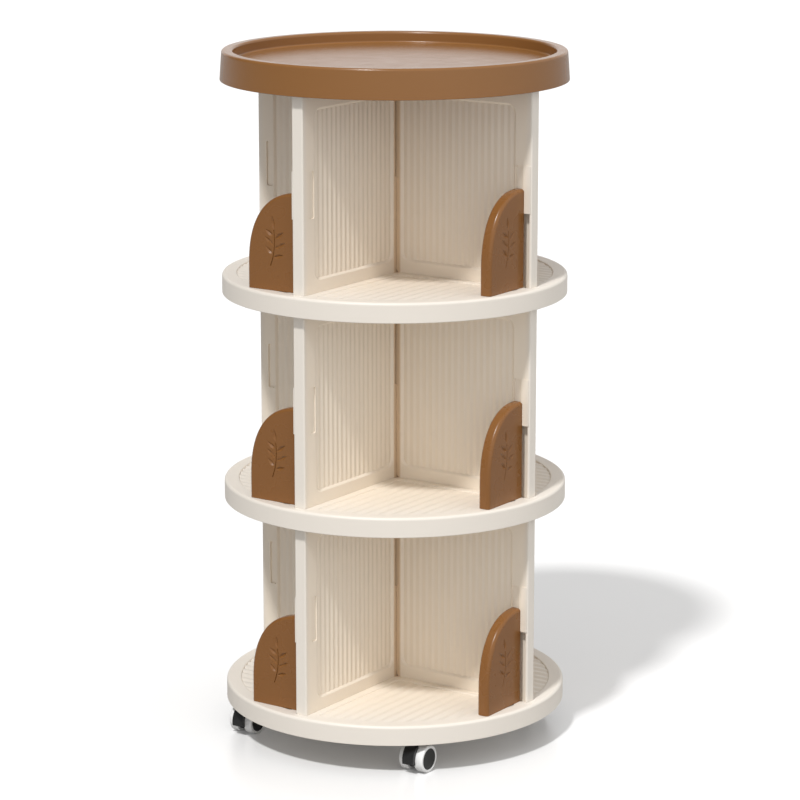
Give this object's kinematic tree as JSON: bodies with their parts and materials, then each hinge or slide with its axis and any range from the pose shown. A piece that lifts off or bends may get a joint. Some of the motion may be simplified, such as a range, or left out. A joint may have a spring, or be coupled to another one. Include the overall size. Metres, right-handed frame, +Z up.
{
  "type": "revolving bookcase",
  "caption": "Round revolving bookcase: tiered trays with crossed fluted dividers and arched end stops, under a rimmed cover, on a ball turntable with swivel castors.",
  "frame": {"origin": "on the floor, on the axis the bookcase turns about", "axes": "+Z up along the turning axis; the dividers lie along X and Y, and the front is -Y"},
  "size_m": [0.4506, 0.4506, 0.9053],
  "materials": {
    "cream_plastic": "satin",
    "brown_gloss_plastic": "satin gloss",
    "brown_plastic": "satin",
    "black_plastic": "satin",
    "grey_plastic": "satin",
    "pale_tyre": "matt",
    "base_plastic": "matt",
    "steel": "zinc plated"
  },
  "bodies": {
    "chassis": {"castor_base": "base_plastic", "turntable_lower_race": "steel", "front_right_castor_stem": "steel", "back_right_castor_stem": "steel", "back_left_castor_stem": "steel", "front_left_castor_stem": "steel"},
    "carousel": {"top_cover": "brown_gloss_plastic", "upper_tray": "cream_plastic", "middle_tray": "cream_plastic", "base_tray": "cream_plastic", "base_crosswise_divider": "cream_plastic", "base_lengthwise_divider": "cream_plastic", "middle_crosswise_divider": "cream_plastic", "middle_lengthwise_divider": "cream_plastic", "upper_crosswise_divider": "cream_plastic", "upper_lengthwise_divider": "cream_plastic", "base_front_stop": "brown_plastic", "base_right_stop": "brown_plastic", "base_back_stop": "brown_plastic", "base_left_stop": "brown_plastic", "middle_front_stop": "brown_plastic", "middle_right_stop": "brown_plastic", "middle_back_stop": "brown_plastic", "middle_left_stop": "brown_plastic", "upper_front_stop": "brown_plastic", "upper_right_stop": "brown_plastic", "upper_back_stop": "brown_plastic", "upper_left_stop": "brown_plastic", "turntable_upper_race": "steel", "retaining_washer": "steel", "pivot_screw": "steel"},
    "ball_ring": {"ball_ring": "base_plastic"},
    "front_right_swivel": {"front_right_castor_hood": "black_plastic", "front_right_castor_axle": "steel"},
    "front_right_right_roller": {"front_right_castor_right_wheel": "grey_plastic", "front_right_castor_right_tyre": "pale_tyre"},
    "front_right_left_roller": {"front_right_castor_left_wheel": "grey_plastic", "front_right_castor_left_tyre": "pale_tyre"},
    "back_right_swivel": {"back_right_castor_hood": "black_plastic", "back_right_castor_axle": "steel"},
    "back_right_right_roller": {"back_right_castor_right_wheel": "grey_plastic", "back_right_castor_right_tyre": "pale_tyre"},
    "back_right_left_roller": {"back_right_castor_left_wheel": "grey_plastic", "back_right_castor_left_tyre": "pale_tyre"},
    "back_left_swivel": {"back_left_castor_hood": "black_plastic", "back_left_castor_axle": "steel"},
    "back_left_right_roller": {"back_left_castor_right_wheel": "grey_plastic", "back_left_castor_right_tyre": "pale_tyre"},
    "back_left_left_roller": {"back_left_castor_left_wheel": "grey_plastic", "back_left_castor_left_tyre": "pale_tyre"},
    "front_left_swivel": {"front_left_castor_hood": "black_plastic", "front_left_castor_axle": "steel"},
    "front_left_right_roller": {"front_left_castor_right_wheel": "grey_plastic", "front_left_castor_right_tyre": "pale_tyre"},
    "front_left_left_roller": {"front_left_castor_left_wheel": "grey_plastic", "front_left_castor_left_tyre": "pale_tyre"}
  },
  "joints": [
    {"name": "carousel_turn", "type": "hinge", "parent": "chassis", "child": "carousel", "pos_m": [0, 0, 0.058], "axis": [0, 0, 1], "continuous": true},
    {"name": "ball_ring_turn", "type": "hinge", "parent": "chassis", "child": "ball_ring", "pos_m": [0, 0, 0.058], "axis": [0, 0, 1], "continuous": true},
    {"name": "front_right_swivel_turn", "type": "hinge", "parent": "chassis", "child": "front_right_swivel", "pos_m": [0.13626, -0.13626, 0.0395], "axis": [0, 0, 1], "continuous": true},
    {"name": "front_right_right_wheel_roll", "type": "hinge", "parent": "front_right_swivel", "child": "front_right_right_roller", "pos_m": [0.14811, -0.14726, 0.018], "axis": [1, 0, 0], "continuous": true},
    {"name": "front_right_left_wheel_roll", "type": "hinge", "parent": "front_right_swivel", "child": "front_right_left_roller", "pos_m": [0.12441, -0.14726, 0.018], "axis": [1, 0, 0], "continuous": true},
    {"name": "back_right_swivel_turn", "type": "hinge", "parent": "chassis", "child": "back_right_swivel", "pos_m": [0.13626, 0.13626, 0.0395], "axis": [0, 0, 1], "continuous": true},
    {"name": "back_right_right_wheel_roll", "type": "hinge", "parent": "back_right_swivel", "child": "back_right_right_roller", "pos_m": [0.14811, 0.12526, 0.018], "axis": [1, 0, 0], "continuous": true},
    {"name": "back_right_left_wheel_roll", "type": "hinge", "parent": "back_right_swivel", "child": "back_right_left_roller", "pos_m": [0.12441, 0.12526, 0.018], "axis": [1, 0, 0], "continuous": true},
    {"name": "back_left_swivel_turn", "type": "hinge", "parent": "chassis", "child": "back_left_swivel", "pos_m": [-0.13626, 0.13626, 0.0395], "axis": [0, 0, 1], "continuous": true},
    {"name": "back_left_right_wheel_roll", "type": "hinge", "parent": "back_left_swivel", "child": "back_left_right_roller", "pos_m": [-0.12441, 0.12526, 0.018], "axis": [1, 0, 0], "continuous": true},
    {"name": "back_left_left_wheel_roll", "type": "hinge", "parent": "back_left_swivel", "child": "back_left_left_roller", "pos_m": [-0.14811, 0.12526, 0.018], "axis": [1, 0, 0], "continuous": true},
    {"name": "front_left_swivel_turn", "type": "hinge", "parent": "chassis", "child": "front_left_swivel", "pos_m": [-0.13626, -0.13626, 0.0395], "axis": [0, 0, 1], "continuous": true},
    {"name": "front_left_right_wheel_roll", "type": "hinge", "parent": "front_left_swivel", "child": "front_left_right_roller", "pos_m": [-0.12441, -0.14726, 0.018], "axis": [1, 0, 0], "continuous": true},
    {"name": "front_left_left_wheel_roll", "type": "hinge", "parent": "front_left_swivel", "child": "front_left_left_roller", "pos_m": [-0.14811, -0.14726, 0.018], "axis": [1, 0, 0], "continuous": true}
  ],
  "couplings": [
    {"joint": "ball_ring_turn", "follows": "carousel_turn", "ratio": 0.5}
  ]
}
